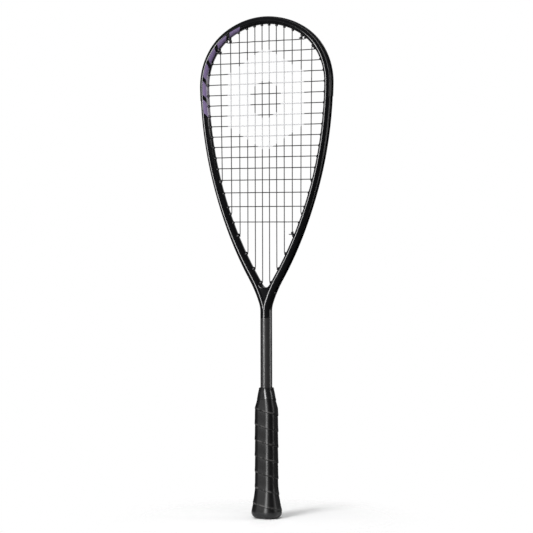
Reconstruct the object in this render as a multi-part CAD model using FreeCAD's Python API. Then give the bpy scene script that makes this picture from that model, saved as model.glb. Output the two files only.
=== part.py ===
import FreeCAD, Part
import math
import os

# Squash racket with a teardrop head, strung, standing on its butt.
# Frame of the part: origin under the middle of the butt, +Z up the shaft to the tip of the head,
# strings in the plane Y = 0, hitting face towards -Y, head width along X.  Millimetres.
#
# The beam's centre line is one half of the head, from the tip outwards and down, mirrored in X.
# A place on it is its distance s along the line from the tip; its heading is 0 degrees along +X at
# the tip and 90 degrees straight down.  u is the distance outwards from the line, v is along Y.

# ---------------------------------------------------------------- driving dimensions
tip_height = 680.2            # centre line of the beam at the tip of the head
tip_arc = (115.5, 31.7)       # radius, degrees turned
shoulder_arc = (81.9, 59.4)
side_arc = (499.0, 31.8)
arm_turn = 12.9               # degrees that the arms straighten, before the tighter bend into the shaft
neck_radius = 41.3
shaft_tube_offset = 0.6       # centre line of each half of the hairpin tube from the racket's axis

beam_width = 10.0             # in the plane of the strings, round the head
shaft_outer_half = 7.3        # outer half of the width down the shaft; the inner half stays the same
widening = (470.0, 308.0)     # heights between which the outer half grows
widening_sections = 9
neck_sections = 5
beam_depth = 17.6             # through the racket
beam_tip_radius = 2.9         # rounding of the front and back ridges
beam_wall = 1.0
web_wall = 1.0                # wall between the two tubes where they lie together
frame_foot = 12.0             # lower end of the hairpin tube, inside the handle

groove_width = 6.4            # channel moulded round the outside of the head
groove_depth = 2.2
groove_past_last_hole = 7.0
moulding_gap = 0.05           # between each plastic moulding and the beam
strip_base = 0.8
strip_rim = 0.35              # how far a side strip's rims stand off the beam
channel_width = 4.2           # room for the string's turns in the strips

bumper_proud = 0.8            # how far the head guard stands off the beam
bumper_width = 10.8
bumper_end_height = 574.0     # where the guard stops and the side strips take over
strip_end_height = 397.0
strip_gap = 0.6

string_diameter = 1.3
main_gaps = (11.3, 11.6, 12.1, 12.9, 13.8, 15.5)   # between the twelve main strings, from the axis
main_lean = 1.4               # mm per 100 mm that the outermost main leans in towards the throat
main_gap_height = 500.0       # height at which the gaps are measured
top_cross_height = 652.2
cross_count = 17
cross_pitch = 14.33
even_gaps = 10                # gaps of that pitch, before they open out towards the throat
cross_opening = 0.19          # mm by which they open, times the square of the gap's number
weave = 1.42                  # how far the zigzag of a cross string stands off the mains' plane
weave_radius = 7.0
turn_radius = 1.6             # of a string at the edge of a hole
side_by_side = 1.35           # offset along Y of a turn that passes other holes
turn_lead = 3.0               # length over which it moves aside
turn_step = 8.0               # longest straight stretch of a turn
seat_clearance = 0.15

barrel_radius = 1.9
barrel_bore = 0.85
barrel_inside = 2.0           # how far a barrel stands out inside the head
throat_barrel_radius = 2.2
throat_barrel_inside = 2.6
tie_barrel_radius = 2.6       # a hole that takes a second, tied-off string
tie_bore = 2.05
flange_radius = 3.0
flange_thickness = 0.8
throat_mains = 4              # mains each side that end in single throat grommets

knot_turns = 3
knot_drop = 1.2               # from the mouth of the hole to the knot's first turn
# cut end of a knot: its length, and its direction on a knot of the right half
main_tail = (5.0, (-1.0, -0.3, -0.55))
throat_tail = (6.0, (-1.0, -0.3, 0.04))
hidden_tail = (4.0, (-0.25, 1.0, -0.3))

web_top = 316.0               # lowest place of the saddle between the arms
web_bottom = 262.0
web_depth = 12.4

# width, depth and corner radius over the grip
grip_size = (30.0, 25.5, 9.0)
grip_top_size = (24.2, 22.0, 8.8)
flare_size = (40.0, 36.0, 14.5)
grip_thickness = 1.8
flare_height = 10.0           # height of the widest place
flare_start = 46.0
flare_power = 1.5
flare_sections = 5
taper_start = 150.0
grip_bottom = 9.6
grip_top = 163.5
cap_wall = 2.2
cap_top = 38.0
cap_floor = 3.0
cap_edge_radius = 8.5
pallet_top = 173.5
pallet_top_size = (16.8, 18.6, 6.8)
tape_top = 171.0
tape_thickness = 0.3

# rubber collar: heights with their width, depth and corner radius
collar_profile = ((163.6, (24.7, 22.5, 9.0)), (177.4, (18.2, 20.6, 7.6)), (179.4, (17.0, 19.2, 7.2)))

staple_wire = 0.7
staple_span = 9.0
staple_leg = 4.5
staple_height = 24.0
tack_height = 16.0
plug_length = 22.0

V = FreeCAD.Vector
Y_AXIS = V(0, 1, 0)
HALF_BEAM = beam_width / 2.0
GROOVE_FLOOR = HALF_BEAM - groove_depth
STRIP_FLOOR = GROOVE_FLOOR + moulding_gap
CHANNEL_FLOOR = STRIP_FLOOR + strip_base
STRING_SEAT = CHANNEL_FLOOR + seat_clearance + string_diameter / 2.0
PAST_BEAM = HALF_BEAM + 3.0   # an offset that is clear of the beam, for cutting tools


# ---------------------------------------------------------------- the beam's centre line
def outward(heading):
    angle = math.radians(heading)
    return V(math.sin(angle), 0, math.cos(angle))


class Arc:
    """A round stretch of the centre line; turn is +1 round the head, -1 where the arms straighten."""

    def __init__(self, start, begin, heading, radius, angle, turn):
        self.begin = begin
        self.heading = heading
        self.radius = radius
        self.turn = turn
        self.length = math.radians(angle) * radius
        self.end = begin + self.length
        self.end_heading = heading + turn * angle
        self.centre = start - outward(heading) * (radius * turn)
        self.end_point = self.place(self.end_heading)

    def place(self, heading, u=0.0):
        return self.centre + outward(heading) * (self.radius * self.turn + u)

    def heading_at(self, s):
        return self.heading + self.turn * math.degrees((s - self.begin) / self.radius)


def centre_line():
    start = V(0, 0, tip_height)
    begin = 0.0
    heading = 0.0
    arcs = []
    for radius, angle in (tip_arc, shoulder_arc, side_arc):
        arc = Arc(start, begin, heading, radius, angle, 1)
        arcs.append(arc)
        start = arc.end_point
        begin = arc.end
        heading = arc.end_heading
    neck_turn = heading - 90.0 - arm_turn
    neck_reach = neck_radius * (1.0 - math.cos(math.radians(neck_turn)))
    reach = math.cos(math.radians(neck_turn)) - math.cos(math.radians(heading - 90.0))
    arm = Arc(start, begin, heading, (start.x - shaft_tube_offset - neck_reach) / reach, arm_turn, -1)
    return arcs + [arm, Arc(arm.end_point, arm.end, arm.end_heading, neck_radius, neck_turn, -1)]


ARCS = centre_line()
SHAFT_TOP = ARCS[-1].end_point.z


def beam_place(s, u=0.0):
    """Point beside the centre line and the heading there."""
    for arc in ARCS:
        if s <= arc.end or arc is ARCS[-1]:
            heading = arc.heading_at(s)
            return arc.place(heading, u), heading


def meet(point, direction, u):
    """Where a straight line first meets the curve at offset u from the centre line: its s."""
    found = []
    for arc in ARCS:
        radius = arc.radius + u * arc.turn
        offset = point - arc.centre
        across = offset.dot(direction)
        inside = across * across - offset.dot(offset) + radius * radius
        if inside < 0:
            continue
        for distance in (-across - math.sqrt(inside), -across + math.sqrt(inside)):
            out = (point + direction * distance - arc.centre) * (arc.turn / radius)
            heading = math.degrees(math.atan2(out.x, out.z))
            s = arc.begin + math.radians((heading - arc.heading) * arc.turn) * arc.radius
            if distance > 0 and arc.begin <= s <= arc.end:
                found.append((distance, s))
    return min(found)[1]


def level(height):
    """The place on the head's side that lies at a height."""
    return meet(V(0, 0, height), V(1, 0, 0), 0.0)


# ---------------------------------------------------------------- sections and sweeps
def touch(half, tip, tip_radius):
    """Where the side arc through (half, 0) touches the tip arc about (0, tip)."""
    # (side - half)^2 + tip^2 = (side - tip_radius)^2
    side = (half * half + tip * tip - tip_radius * tip_radius) / (2.0 * (half - tip_radius))
    slope = math.atan2(tip, side - half)
    return tip_radius * math.cos(slope), tip + tip_radius * math.sin(slope)


def beam_oval(by=0.0, outer=HALF_BEAM):
    """The beam's section, four tangent arcs, grown by a distance all round; its X points outwards."""
    b = beam_depth / 2.0 + by
    tip_radius = beam_tip_radius + by
    out_x, out_y = touch(outer + by, b - tip_radius, tip_radius)
    in_x, in_y = touch(HALF_BEAM + by, b - tip_radius, tip_radius)
    corners = [V(out_x, -out_y, 0), V(out_x, out_y, 0), V(-in_x, in_y, 0), V(-in_x, -in_y, 0)]
    middles = [V(outer + by, 0, 0), V(0, b, 0), V(-HALF_BEAM - by, 0, 0), V(0, -b, 0)]
    arcs = zip(corners, middles, corners[1:] + corners[:1])
    return Part.Wire([Part.Arc(start, middle, end).toShape() for start, middle, end in arcs])


def rectangle(low_u, high_u, half_v):
    corners = [V(low_u, -half_v, 0), V(high_u, -half_v, 0), V(high_u, half_v, 0), V(low_u, half_v, 0)]
    return Part.makePolygon(corners + corners[:1])


def rounded(size, z):
    """Closed rounded rectangle at height z; size is width, depth and corner radius."""
    width, depth, radius = size
    a = width / 2.0
    b = depth / 2.0
    diagonal = radius * (1.0 - math.sqrt(0.5))
    corners = ((1, 1), (-1, 1), (-1, -1), (1, -1))
    arcs = []
    for sign_x, sign_y in corners:
        side = V(sign_x * a, sign_y * (b - radius), z)
        top = V(sign_x * (a - radius), sign_y * b, z)
        middle = V(sign_x * (a - diagonal), sign_y * (b - diagonal), z)
        ends = (side, top) if sign_x == sign_y else (top, side)
        arcs.append(Part.Arc(ends[0], middle, ends[1]))
    edges = []
    for arc, following in zip(arcs, arcs[1:] + arcs[:1]):
        edges.append(arc.toShape())
        edges.append(Part.LineSegment(arc.EndPoint, following.StartPoint).toShape())
    return Part.Wire(edges)


def join(shapes):
    solid = shapes[0]
    if len(shapes) > 1:
        solid = solid.fuse(shapes[1:])
    return solid.removeSplitter()


def mirrored(shape):
    return shape.mirror(V(0, 0, 0), V(1, 0, 0))


def sweep(wire, start=0.0, end=ARCS[-1].end):
    """Carry a section along the beam; its X points outwards and its Y stays along Y."""
    pieces = []
    for arc in ARCS:
        first = max(start, arc.begin)
        last = min(end, arc.end)
        if last - first < 0.01:
            continue
        heading = arc.heading_at(first)
        face = Part.Face(wire)
        face.Placement = FreeCAD.Placement(arc.place(heading), FreeCAD.Rotation(Y_AXIS, heading - 90.0))
        pieces.append(face.revolve(arc.centre, Y_AXIS, arc.heading_at(last) - heading))
    return join(pieces)


def outer_half(z):
    """The beam's outer half width at a height of the centre line."""
    share = (widening[0] - z) / (widening[0] - widening[1])
    share = min(1.0, max(0.0, share))
    return HALF_BEAM + (shaft_outer_half - HALF_BEAM) * share * share * (3.0 - 2.0 * share)


def beam_body(by, foot):
    """Half of the hairpin, filled: round the head, down the widening arm and down the shaft."""
    arm_start = meet(V(0, 0, widening[0]), V(1, 0, 0), 0.0)
    neck = ARCS[-1]
    places = [arm_start + (neck.begin - arm_start) * k / widening_sections for k in range(widening_sections)]
    places += [neck.begin + neck.length * k / neck_sections for k in range(neck_sections + 1)]
    wires = []
    for s in places:
        point, heading = beam_place(s)
        wire = beam_oval(by, outer_half(point.z))
        wire.Placement = FreeCAD.Placement(point, FreeCAD.Rotation(Y_AXIS, heading - 90.0))
        wires.append(wire)
    head = sweep(beam_oval(by), 0.0, arm_start)
    return join([head, Part.makeLoft(wires, True, False), shaft_run(beam_oval(by, shaft_outer_half), foot)])


def shaft_run(wire, foot, top=SHAFT_TOP):
    """A section carried straight down the shaft, right tube of the hairpin."""
    face = Part.Face(wire)
    face.Placement = FreeCAD.Placement(V(shaft_tube_offset, 0, top), FreeCAD.Rotation())
    return face.extrude(V(0, 0, foot - top))


def clip_right(shape, gap=0.0):
    """Keep what lies right of the plane X = gap."""
    return shape.common(Part.makeBox(300, 100, 900, V(gap, -50, -50)))


def shaft_outside(foot, top, by=0.0):
    """Both tubes of the shaft as one filled solid."""
    half = clip_right(shaft_run(beam_oval(by, shaft_outer_half), foot, top))
    return join([half, mirrored(half)])


# ---------------------------------------------------------------- strings
def main_positions():
    """Half of the mains: distance from the axis at the measuring height, and lean per mm."""
    positions = []
    x = -main_gaps[0] / 2.0
    for gap in main_gaps:
        x += gap
        positions.append(x)
    return [(x, main_lean / 100.0 * (x / positions[-1]) ** 4) for x in positions]


def cross_heights():
    heights = [top_cross_height]
    for number in range(1, cross_count):
        opened = max(0, number - even_gaps)
        heights.append(heights[-1] - cross_pitch - cross_opening * opened ** 2)
    return heights


MAINS = main_positions()
CROSSES = cross_heights()


class Hole:
    """A string's way through the beam, square to it, with the grommet barrel that lines it."""

    def __init__(self, point, direction, radius, bore, inside):
        self.s = meet(point, direction, -HALF_BEAM - inside - string_diameter)
        self.radius = radius
        self.bore = bore
        self.inside = inside
        self.heading = beam_place(self.s)[1]
        self.mouth = self.at(-HALF_BEAM - inside - string_diameter)
        self.seat = self.at(STRING_SEAT)

    def at(self, u, v=0.0):
        return beam_place(self.s, u)[0] + V(0, v, 0)

    def tool(self, radius, low_u, high_u):
        return Part.makeCylinder(radius, high_u - low_u, self.at(low_u), outward(self.heading))

    def barrel(self):
        return self.tool(self.radius, -HALF_BEAM - self.inside, CHANNEL_FLOOR)

    def drill(self):
        return self.tool(self.bore, -HALF_BEAM - self.inside - 1.0, PAST_BEAM)

    def clearance(self):
        return self.tool(self.radius + moulding_gap, -PAST_BEAM, PAST_BEAM)


def main_holes():
    """Upper and lower hole of each main on the right; the outer two tops and main 4 also take ties."""
    holes = []
    for index, (x, lean) in enumerate(MAINS):
        start = V(x, 0, main_gap_height)
        slope = V(lean, 0, 1).normalize()
        if index >= throat_mains:
            top = Hole(start, slope, tie_barrel_radius, tie_bore, barrel_inside)
            bottom = Hole(start, slope * -1.0, barrel_radius, barrel_bore, barrel_inside)
        else:
            tied = index == throat_mains - 1
            radius = tie_barrel_radius if tied else throat_barrel_radius
            bore = tie_bore if tied else barrel_bore
            top = Hole(start, slope, barrel_radius, barrel_bore, barrel_inside)
            bottom = Hole(start, slope * -1.0, radius, bore, throat_barrel_inside)
        holes.append((top, bottom))
    return holes


MAIN_HOLES = main_holes()
CROSS_HOLES = [Hole(V(0, 0, z), V(1, 0, 0), barrel_radius, barrel_bore, barrel_inside) for z in CROSSES]
HEAD_HOLES = [top for top, bottom in MAIN_HOLES] + [bottom for top, bottom in MAIN_HOLES[throat_mains:]]
HEAD_HOLES += CROSS_HOLES
THROAT_HOLES = [bottom for top, bottom in MAIN_HOLES[:throat_mains]]


def flip(point, side):
    return V(point.x * side, point.y, point.z)


def turn(first, last, v, side=1):
    """Points of a string's turn in the channel from one hole to another, moved aside by v."""
    step = turn_lead if last.s > first.s else -turn_lead
    start = first.s + step
    end = last.s - step
    count = max(1, round(abs(end - start) / turn_step))
    points = [start + (end - start) * number / count for number in range(count + 1)]
    return [flip(beam_place(s, STRING_SEAT)[0] + V(0, v, 0), side) for s in points]


def tie(last, hole, v, side):
    """A string's end: along the channel, in through another string's hole, up to its knot."""
    stops = turn(last, hole, v, side)
    stops.append(flip(hole.at(STRING_SEAT, v), side))
    stops.append(flip(hole.at(-HALF_BEAM - hole.inside - knot_drop * 0.8, v), side))
    return stops


def main_route():
    """One string up and down all the mains from left to right, with a tie at each end."""
    order = [(index, -1) for index in reversed(range(len(MAINS)))]
    order += [(index, 1) for index in range(len(MAINS))]
    outer_top = MAIN_HOLES[-1][0]
    tie_top = MAIN_HOLES[-2][0]
    route = list(reversed(tie(outer_top, tie_top, side_by_side, -1)))
    for number, (index, side) in enumerate(order):
        top, bottom = MAIN_HOLES[index]
        ends = [top, bottom] if number % 2 == 0 else [bottom, top]
        route += [flip(ends[0].seat, side), flip(ends[0].mouth, side)]
        route += [flip(ends[1].mouth, side), flip(ends[1].seat, side)]
        if number + 1 < len(order):
            next_index, next_side = order[number + 1]
            following = MAIN_HOLES[next_index][number % 2 == 0]
            if next_side == side:
                route += turn(ends[1], following, side_by_side, side)
    route += tie(outer_top, tie_top, side_by_side, 1)
    return route


def cross_route():
    """One string woven to and fro from the throat up, starting on the right, tied at both ends."""
    route = list(reversed(tie(CROSS_HOLES[-1], THROAT_HOLES[-1], -side_by_side, 1)))
    side = 1
    for row in reversed(range(cross_count)):
        hole = CROSS_HOLES[row]
        z = CROSSES[row]
        inside = [x + lean * (z - main_gap_height) for x, lean in MAINS]
        inside = [x for x in inside if x < hole.mouth.x - string_diameter]
        places = [-x for x in reversed(inside)] + inside
        stops = [flip(hole.seat, -1), flip(hole.mouth, -1)]
        for number, x in enumerate(places):
            over = 1 if (number + row - len(inside)) % 2 else -1
            stops.append(V(x, over * weave, z))
        stops += [hole.mouth, hole.seat]
        if side > 0:
            stops.reverse()
        route += stops
        side = -side
        if row:
            route += turn(hole, CROSS_HOLES[row - 1], -side_by_side, side)
    route += tie(CROSS_HOLES[0], MAIN_HOLES[-1][0], -side_by_side, -1)
    return route


def cord(route):
    """Round solid along a route of straight runs, with tangent arcs as large as the runs allow."""
    edges = []
    start = route[0]
    for before, corner, after in zip(route, route[1:], route[2:]):
        back = before - corner
        ahead = after - corner
        half_turn = (math.pi - back.getAngle(ahead)) / 2.0
        if half_turn < 1e-4:
            continue
        wanted = weave_radius if abs(corner.y) == weave else turn_radius
        cut = min(wanted * math.tan(half_turn), 0.45 * min(back.Length, ahead.Length))
        bend = cut / math.tan(half_turn)
        first = corner + back.normalize() * cut
        last = corner + ahead.normalize() * cut
        middle = corner + (back + ahead).normalize() * (bend / math.cos(half_turn) - bend)
        edges.append(Part.LineSegment(start, first).toShape())
        edges.append(Part.Arc(first, middle, last).toShape())
        start = last
    edges.append(Part.LineSegment(start, route[-1]).toShape())
    path = Part.Wire(edges)
    circle = Part.makeCircle(string_diameter / 2.0, route[0], route[1] - route[0])
    solid = path.makePipeShell([Part.Wire([circle])], True, True)
    section = math.pi * string_diameter ** 2 / 4.0
    print("string of %.0f mm, volume over section times length %.4f"
          % (path.Length, solid.Volume / (section * path.Length)))
    return solid


def knot(hole, direction, side, tail):
    """Turns of a string's end round the string that leaves the same hole, with its short tail."""
    tail_length, tail_way = tail
    mouth = hole.at(-HALF_BEAM - hole.inside)
    top = V(main_line_x(hole, mouth.z), 0, mouth.z)
    ring = string_diameter * 0.5
    turns = []
    for number in range(knot_turns):
        centre = top + direction * (knot_drop + ring + number * string_diameter * 0.9)
        turns.append(Part.makeTorus(2.02 * ring, ring, centre, direction))
    way = V(*tail_way).normalize()
    start = top + direction * (knot_drop + ring) + way * (2.0 * ring)
    turns.append(Part.makeCylinder(ring, tail_length, start, way))
    solid = join(turns)
    return solid if side > 0 else mirrored(solid)


def main_line_x(hole, z):
    for (x, lean), pair in zip(MAINS, MAIN_HOLES):
        if hole in pair:
            return x + lean * (z - main_gap_height)


# ---------------------------------------------------------------- frame
def make_frame():
    outer = clip_right(beam_body(0.0, frame_foot))
    inner = beam_body(-beam_wall, frame_foot - 1.0)
    groove_end = THROAT_HOLES[0].s + groove_past_last_hole
    backing = rectangle(GROOVE_FLOOR - beam_wall, PAST_BEAM, groove_width / 2.0 + beam_wall)
    cavity = clip_right(inner, web_wall / 2.0).cut(sweep(backing, 0.0, groove_end + beam_wall))
    groove = sweep(rectangle(GROOVE_FLOOR, PAST_BEAM, groove_width / 2.0), 0.0, groove_end)
    half = outer.cut(cavity).cut(groove)
    half = half.cut([hole.clearance() for hole in HEAD_HOLES + THROAT_HOLES])
    return join([half, mirrored(half)])


def saddle():
    """Radius of the arc that touches the inner sides of both arms, and the height where it does."""
    arc = ARCS[-2]
    side = arc.radius + HALF_BEAM
    rise = web_top - arc.centre.z
    radius = (arc.centre.x ** 2 + rise ** 2 - side ** 2) / (2.0 * (side - rise))
    touch = (web_top + radius) + (arc.centre.z - web_top - radius) * radius / (side + radius)
    return radius, touch


def make_throat_web():
    """Wedge that closes the crotch between the two arms, with a round saddle at its top."""
    radius, height = saddle()
    block = Part.makeBox(60, web_depth, height - web_bottom, V(-30, -web_depth / 2, web_bottom))
    round_top = Part.makeCylinder(radius, web_depth, V(0, -web_depth / 2, web_top + radius), Y_AXIS)
    arms = clip_right(beam_body(0.0, web_bottom - 1.0))
    rest = block.cut([round_top, arms, mirrored(arms)])
    return min(rest.Solids, key=lambda solid: abs(solid.CenterOfMass.x))


# ---------------------------------------------------------------- head guard, strips and grommets
def with_barrels(body, holes):
    """Drill a strip and stand its barrels in it; the faces stay split, so that each stays simple."""
    tubes = [hole.barrel().cut(hole.drill()) for hole in holes]
    return body.cut([hole.drill() for hole in holes]).fuse(tubes).Solids[0]


def channel(start, end):
    return sweep(rectangle(CHANNEL_FLOOR, PAST_BEAM, channel_width / 2.0), start, end)


def make_bumper():
    end = level(bumper_end_height)
    base = rectangle(STRIP_FLOOR, HALF_BEAM + bumper_proud / 2.0, groove_width / 2.0 - moulding_gap)
    lap = Part.Face(rectangle(0, PAST_BEAM, bumper_width / 2.0))
    cover = Part.Face(beam_oval(bumper_proud)).common(lap)
    cover = cover.cut(Part.Face(beam_oval(moulding_gap)))
    body = sweep(base, 0.0, end).fuse(sweep(cover.Faces[0].OuterWire, 0.0, end)).cut(channel(0.0, end))
    half = with_barrels(body, [hole for hole in HEAD_HOLES if hole.s < end])
    return half.fuse(mirrored(half)).Solids[0]


def make_side_strip():
    start = level(bumper_end_height) + strip_gap
    end = level(strip_end_height)
    section = rectangle(STRIP_FLOOR, HALF_BEAM + strip_rim, groove_width / 2.0 - moulding_gap)
    body = sweep(section, start, end).cut(channel(start, end))
    return with_barrels(body, [hole for hole in HEAD_HOLES if start < hole.s < end])


def make_throat_grommet(hole):
    head = hole.tool(flange_radius, STRIP_FLOOR, STRIP_FLOOR + flange_thickness)
    return join([head, hole.barrel()]).cut(hole.drill()).Solids[0]


# ---------------------------------------------------------------- handle
def grown(size, by):
    return (size[0] + 2 * by, size[1] + 2 * by, size[2] + by)


def between(low, high, share):
    return tuple(a + (b - a) * share for a, b in zip(low, high))


def handle_size(z):
    """Size over the grip at a height."""
    if z < flare_start:
        share = (flare_start - max(z, flare_height)) / (flare_start - flare_height)
        return between(grip_size, flare_size, share ** flare_power)
    if z > taper_start:
        return between(grip_size, grip_top_size, (z - taper_start) / (grip_top - taper_start))
    return grip_size


def handle_body(bottom, top, inset):
    """Solid of the handle's outside between two heights, taken in all round."""
    heights = [bottom]
    if bottom < flare_start:
        first = max(bottom, flare_height)
        last = min(top, flare_start)
        heights += [first + (last - first) * k / (flare_sections - 1) for k in range(flare_sections)]
    heights += [z for z in (flare_start, taper_start) if bottom < z < top] + [top]
    heights = sorted(set(heights))
    pieces = []
    runs = [
        [z for z in heights if z <= flare_height],
        [z for z in heights if flare_height <= z <= flare_start],
        [z for z in heights if flare_start <= z <= taper_start],
        [z for z in heights if z >= taper_start],
    ]
    for run in runs:
        if len(run) > 1:
            wires = [rounded(grown(handle_size(z), -inset), z) for z in run]
            pieces.append(Part.makeLoft(wires, True, len(run) == 2, False))
    return join(pieces)


def staple(centre, along, inward):
    """Wire staple: a crown laid across, and two legs driven in."""
    ends = [centre - along * (staple_span / 2.0), centre + along * (staple_span / 2.0)]
    radius = staple_wire / 2.0
    pieces = [Part.makeCylinder(radius, staple_span, ends[0], along)]
    for end in ends:
        pieces.append(Part.makeCylinder(radius, staple_leg, end, inward))
        pieces.append(Part.makeSphere(radius, end))
    return join(pieces)


def make_staples():
    depth = handle_size(staple_height)[1] / 2.0 - grip_thickness - staple_wire
    front = staple(V(0, -depth, staple_height), V(1, 0, 0), V(0, 1, 0))
    back = staple(V(0, depth, staple_height), V(1, 0, 0), V(0, -1, 0))
    width = handle_size(tack_height)[0] / 2.0 - grip_thickness - staple_wire * 0.4
    tack = staple(V(width, 0, tack_height), V(0, 1, 0), V(-1, 0, 0))
    return front, back, tack


def make_pallet(fasteners):
    lower = handle_body(cap_floor, cap_top, grip_thickness + cap_wall)
    upper = handle_body(cap_top, grip_top, grip_thickness)
    neck_sizes = [(grip_top, grown(grip_top_size, -grip_thickness)), (pallet_top, pallet_top_size)]
    neck = Part.makeLoft([rounded(size, z) for z, size in neck_sizes], True, True, False)
    return join([lower, upper, neck]).cut([shaft_outside(frame_foot, pallet_top + 1.0)] + fasteners)


def make_butt_cap(fasteners):
    lip = Part.Face(rounded(flare_size, 0.0)).extrude(V(0, 0, grip_bottom))
    rim = [edge for edge in lip.Edges if edge.BoundBox.ZMax < 0.1]
    lip = lip.makeFillet(cap_edge_radius, rim)
    skirt = handle_body(grip_bottom, cap_top, grip_thickness)
    hollow = handle_body(cap_floor, cap_top, grip_thickness + cap_wall)
    return join([lip, skirt]).cut([hollow] + fasteners)


def make_grip(fasteners):
    inside = handle_body(grip_bottom, grip_top, grip_thickness)
    return handle_body(grip_bottom, grip_top, 0.0).cut([inside] + fasteners)


def neck_size(z):
    bottom = grown(grip_top_size, -grip_thickness)
    return between(bottom, pallet_top_size, (z - grip_top) / (pallet_top - grip_top))


def make_finishing_tape():
    ends = (grip_top, tape_top)
    over = [rounded(grown(neck_size(z), tape_thickness), z) for z in ends]
    outer = Part.makeLoft(over, True, True, False)
    inner = Part.makeLoft([rounded(neck_size(z), z) for z in ends], True, True, False)
    return outer.cut(inner)


def make_collar():
    outer = Part.makeLoft([rounded(size, z) for z, size in collar_profile], True, True, False)
    ends = (collar_profile[0][0], pallet_top)
    inside = [rounded(grown(neck_size(z), tape_thickness), z) for z in ends]
    hollow = Part.makeLoft(inside, True, True, False)
    return outer.cut([hollow, shaft_outside(frame_foot, SHAFT_TOP)])


def make_plug():
    """Foam plug in the foot of one tube."""
    inside = shaft_run(beam_oval(-beam_wall, shaft_outer_half), frame_foot, frame_foot + plug_length)
    return clip_right(inside, web_wall / 2.0)


def build():
    up = V(0, 0, 1)
    front_staple, back_staple, tack = make_staples()
    strip = make_side_strip()
    plug = make_plug()
    nodes = {
        "frame": make_frame(),
        "throat_web": make_throat_web(),
        "bumper_guard": make_bumper(),
        "grommet_strip_right": strip,
        "grommet_strip_left": mirrored(strip),
        "main_string": cord(main_route()),
        "cross_string": cord(cross_route()),
        "main_knot_right": knot(MAIN_HOLES[-2][0], up * -1.0, 1, main_tail),
        "main_knot_left": knot(MAIN_HOLES[-2][0], up * -1.0, -1, hidden_tail),
        "cross_knot_top": knot(MAIN_HOLES[-1][0], up * -1.0, -1, hidden_tail),
        "cross_knot_throat": knot(THROAT_HOLES[-1], up, 1, throat_tail),
        "handle_pallet": make_pallet([front_staple, back_staple, tack]),
        "butt_cap": make_butt_cap([front_staple, back_staple, tack]),
        "cap_staple_front": front_staple,
        "cap_staple_back": back_staple,
        "grip_tack": tack,
        "grip_tape": make_grip([tack]),
        "finishing_tape": make_finishing_tape(),
        "rubber_collar": make_collar(),
        "tube_plug_right": plug,
        "tube_plug_left": mirrored(plug),
    }
    for number, hole in enumerate(THROAT_HOLES, 1):
        grommet = make_throat_grommet(hole)
        nodes["throat_grommet_right_%d" % number] = grommet
        nodes["throat_grommet_left_%d" % number] = mirrored(grommet)
    return nodes


def main():
    os.makedirs("parts", exist_ok=True)
    for name, shape in build().items():
        if not shape.isValid() or len(shape.Solids) != 1:
            print("CHECK", name, shape.isValid(), len(shape.Solids))
        box = shape.BoundBox
        print("%-24s %9.1f mm3  x %.1f..%.1f  y %.1f..%.1f  z %.1f..%.1f"
              % (name, shape.Volume, box.XMin, box.XMax, box.YMin, box.YMax, box.ZMin, box.ZMax))
        shape.exportStep("parts/%s.step" % name)


if __name__ == "__main__":
    main()
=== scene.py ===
import math

import bmesh
import bpy
from mathutils import Matrix, Vector


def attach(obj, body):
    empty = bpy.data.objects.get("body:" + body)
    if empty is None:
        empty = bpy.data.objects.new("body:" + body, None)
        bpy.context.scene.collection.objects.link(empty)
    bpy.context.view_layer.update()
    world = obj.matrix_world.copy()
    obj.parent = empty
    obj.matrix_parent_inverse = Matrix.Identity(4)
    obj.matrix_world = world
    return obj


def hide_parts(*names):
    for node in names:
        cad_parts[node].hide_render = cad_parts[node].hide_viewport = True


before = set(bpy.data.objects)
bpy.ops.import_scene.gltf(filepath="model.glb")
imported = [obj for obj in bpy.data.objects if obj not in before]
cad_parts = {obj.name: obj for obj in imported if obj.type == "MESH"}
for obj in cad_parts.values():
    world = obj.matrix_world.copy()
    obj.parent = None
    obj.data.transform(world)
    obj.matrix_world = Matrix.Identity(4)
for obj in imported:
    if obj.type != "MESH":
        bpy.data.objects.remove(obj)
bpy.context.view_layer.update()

# Squash racket. Shapes are worked out in millimetres in the CAD frame and scaled to metres when a mesh
# is made. A place on the beam is its distance s along the centre line from the tip of the head,
# positive on the right half and negative on the left; u is the distance outwards from that line, and
# v is along Y, from the front of the racket to its back. Angles are in degrees.
MM = 0.001

# ---------------------------------------------------------------- driving dimensions, as in the CAD
TIP_HEIGHT = 680.2
HEAD_ARCS = ((115.5, 31.7), (81.9, 59.4), (499.0, 31.8))       # radius and degrees turned, from the tip
ARM_TURN = 12.9
NECK_RADIUS = 41.3
TUBE_OFFSET = 0.6              # from the racket's middle to the centre line of a shaft tube
BEAM_WIDTH = 10.0
SHAFT_OUTER_HALF = 7.3
WIDENING = (470.0, 308.0)      # heights between which the arms widen towards the shaft
BEAM_DEPTH = 17.6
RIDGE_RADIUS = 2.9
FRAME_FOOT = 12.0
GROOVE_WIDTH = 6.4
GROOVE_DEPTH = 2.2
GROOVE_PAST_HOLE = 7.0
GROOVE_RUN_OUT = 6.0
GROOVE_CORNER = 0.25
GAP = 0.05
STRIP_BASE = 0.8
STRIP_RIM = 0.35
CHANNEL_WIDTH = 4.2
GUARD_PROUD = 0.8
GUARD_WIDTH = 10.8
GUARD_END = 574.0
STRIP_END = 397.0
STRIP_GAP = 0.6
STRING = 1.3
MAIN_GAPS = (11.3, 11.6, 12.1, 12.9, 13.8, 15.5)
MAIN_LEAN = 1.4                # sideways lean of the outermost main, per cent
LEAN_HEIGHT = 500.0
LEAN_POWER = 4                 # how steeply the lean grows towards the outermost main
TOP_CROSS = 652.2
CROSS_COUNT = 17
CROSS_PITCH = 14.33
EVEN_GAPS = 10
CROSS_OPENING = 0.19
WEAVE = 1.42
WEAVE_RADIUS = 7.0
TURN_RADIUS = 1.6
SIDE_BY_SIDE = 1.35
TURN_LEAD = 3.0
TURN_STEP = 8.0
BEAM_STEP = 2.2
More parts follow.
